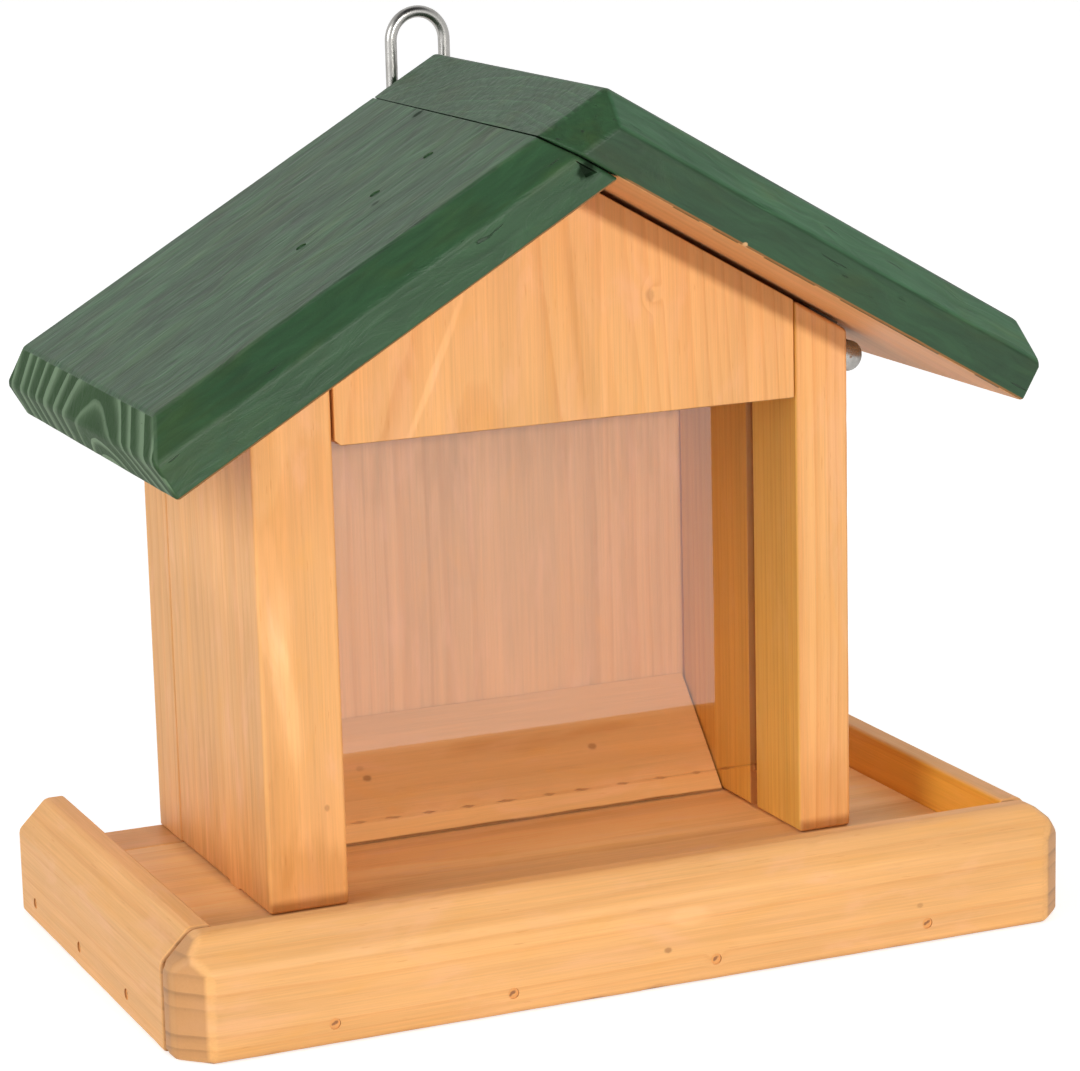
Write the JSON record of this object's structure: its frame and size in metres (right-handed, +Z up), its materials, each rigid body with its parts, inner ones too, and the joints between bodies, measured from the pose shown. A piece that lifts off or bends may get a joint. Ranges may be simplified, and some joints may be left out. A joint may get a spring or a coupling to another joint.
{
  "type": "wall-mounted bird feeder",
  "caption": "Wooden wall feeder with a seed hopper behind a clear pane, a rimmed tray, a pitched roof with one hinged half, and a wire hanging loop.",
  "frame": {"origin": "middle of the tray's underside; the back lies flat on the wall half the tray's depth behind it", "axes": "+X to the right seen from the front, +Y to the wall, +Z up"},
  "size_m": [0.24, 0.135, 0.2317],
  "materials": {
    "honey_wood": "satin",
    "green_wood": "satin",
    "clear_pane": "gloss",
    "zinc_steel": "satin"
  },
  "bodies": {
    "house": {"front_rail": "honey_wood", "left_rail": "honey_wood", "right_rail": "honey_wood", "back_rail": "honey_wood", "floor_board": "honey_wood", "left_wall": "honey_wood", "right_wall": "honey_wood", "back_board": "honey_wood", "gable_board": "honey_wood", "slope_board": "honey_wood", "window_pane": "clear_pane", "pane_pins": "zinc_steel", "left_roof": "green_wood", "front_hinge_wall_leaf": "zinc_steel", "front_hinge_pin": "zinc_steel", "rear_hinge_wall_leaf": "zinc_steel", "rear_hinge_pin": "zinc_steel", "hinge_wall_screws": "zinc_steel", "hanger_loop": "zinc_steel", "hanger_staples": "zinc_steel", "front_rail_nails": "zinc_steel", "side_rail_nails": "zinc_steel", "roof_nails": "zinc_steel", "gable_nails": "zinc_steel", "floor_screws": "zinc_steel", "back_nails": "zinc_steel"},
    "lid": {"right_roof": "green_wood", "front_hinge_roof_leaf": "zinc_steel", "rear_hinge_roof_leaf": "zinc_steel", "hinge_roof_screws": "zinc_steel"}
  },
  "joints": [
    {"name": "lid_hinge", "type": "hinge", "parent": "house", "child": "lid", "pos_m": [0.0853, 0, 0.14189], "axis": [0, 1, 0], "range_deg": [0, 75]}
  ]
}
